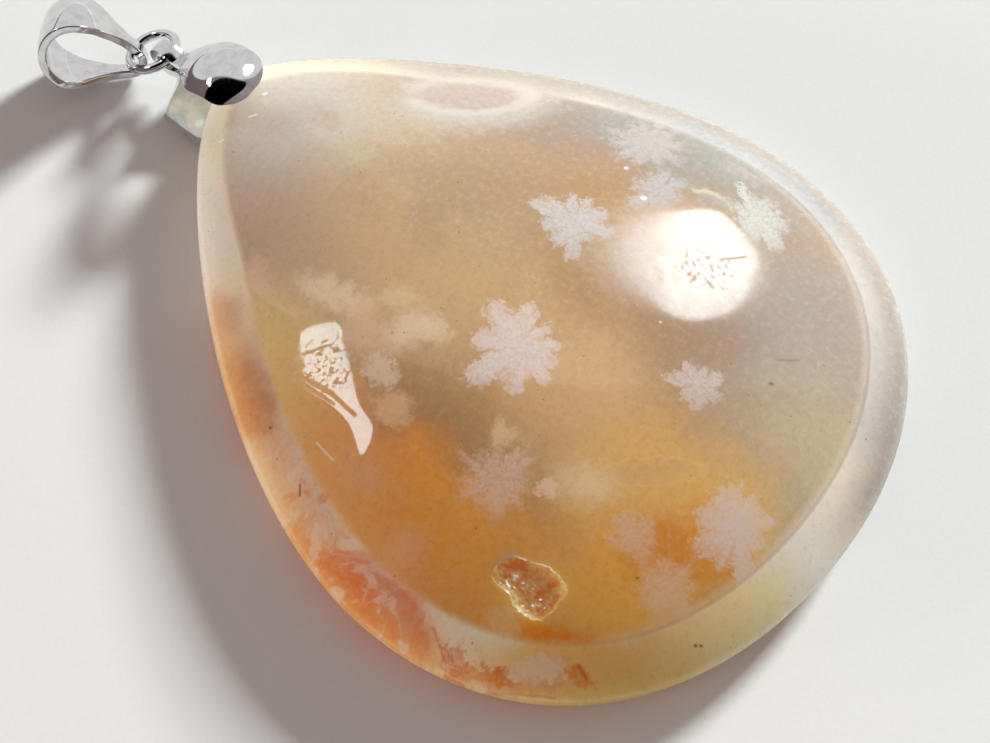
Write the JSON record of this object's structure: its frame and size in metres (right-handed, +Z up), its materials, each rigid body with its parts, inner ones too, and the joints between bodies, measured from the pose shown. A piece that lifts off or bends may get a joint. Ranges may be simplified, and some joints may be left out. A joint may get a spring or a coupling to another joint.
{
  "type": "flower agate drop pendant",
  "caption": "Polished pear-shaped flower agate with a folded metal bail at its tip, a link ring and a tapered slider loop for a chain.",
  "frame": {"origin": "on the stone's flat back, under the middle of its length", "axes": "+X from the pendant's tip to its blunt end, +Z up out of the flat back through the domed front, +Y completes the right-handed frame"},
  "size_m": [0.0651, 0.0422, 0.0082],
  "materials": {
    "agate": "high polish, translucent, banded tan to orange with white flower-shaped inclusions",
    "chrome": "bright polished plating"
  },
  "bodies": {
    "pendant": {"stone": "agate", "pinch_bail": "chrome"},
    "ring": {"link_ring": "chrome"},
    "slider": {"slider_bail": "chrome"}
  },
  "joints": [
    {"name": "ring_swing", "type": "hinge", "parent": "pendant", "child": "ring", "pos_m": [-0.03057, -0.00101, 0.0026], "axis": [-0.1219, 0.9925, 0], "range_deg": [-70, 70]},
    {"name": "slider_swing", "type": "hinge", "parent": "ring", "child": "slider", "pos_m": [-0.03325, -0.00254, 0.00156], "axis": [-0.6998, 0.5872, -0.4067], "range_deg": [-60, 45]}
  ]
}
